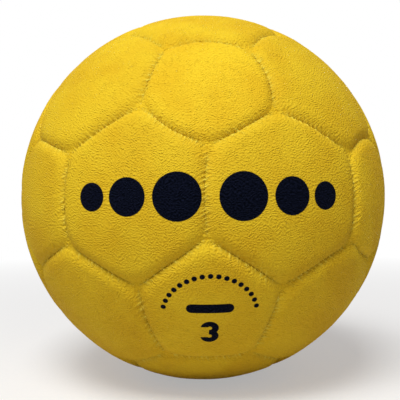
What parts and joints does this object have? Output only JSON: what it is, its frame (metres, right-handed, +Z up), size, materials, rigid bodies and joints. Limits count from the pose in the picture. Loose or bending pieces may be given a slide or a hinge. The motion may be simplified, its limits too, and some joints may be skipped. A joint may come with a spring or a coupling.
{
  "type": "handball",
  "caption": "Yellow size 3 handball, stitched from grained pentagon and hexagon panels with foam and cloth backing round a rubber bladder with a plug valve.",
  "frame": {"origin": "centre of the ball", "axes": "+Z up through the middle of a hexagon-to-hexagon seam; -Y is the front, through the middle of the upright hexagon-to-hexagon seam between two pentagons; +X to the right of it"},
  "size_m": [0.1878, 0.1878, 0.1878],
  "materials": {
    "cover": "fine grained matt suede",
    "foam": "open-cell foam",
    "lining": "woven cotton and polyester",
    "thread": "waxed and twisted",
    "bladder_rubber": "dusted matt",
    "valve_rubber": "moulded matt"
  },
  "bodies": {
    "root": {"pentagon_panel_01": "cover", "pentagon_panel_02": "cover", "pentagon_panel_03": "cover", "pentagon_panel_04": "cover", "pentagon_panel_05": "cover", "pentagon_panel_06": "cover", "pentagon_panel_07": "cover", "pentagon_panel_08": "cover", "pentagon_panel_09": "cover", "pentagon_panel_10": "cover", "pentagon_panel_11": "cover", "pentagon_panel_12": "cover", "hexagon_panel_01": "cover", "hexagon_panel_02": "cover", "hexagon_panel_03": "cover", "hexagon_panel_04": "cover", "hexagon_panel_05": "cover", "hexagon_panel_06": "cover", "hexagon_panel_07": "cover", "hexagon_panel_08": "cover", "hexagon_panel_09": "cover", "hexagon_panel_10": "cover", "hexagon_panel_11": "cover", "hexagon_panel_12": "cover", "hexagon_panel_13": "cover", "hexagon_panel_14": "cover", "hexagon_panel_15": "cover", "hexagon_panel_16": "cover", "hexagon_panel_17": "cover", "hexagon_panel_18": "cover", "hexagon_panel_19": "cover", "hexagon_panel_20": "cover", "pentagon_foam_pads": "foam", "hexagon_foam_pads": "foam", "pentagon_linings": "lining", "hexagon_linings": "lining", "pentagon_seam_thread": "thread", "hexagon_seam_thread": "thread", "valve_patch": "lining", "bladder": "bladder_rubber", "valve_boot": "valve_rubber", "valve_plug": "valve_rubber"}
  },
  "joints": []
}
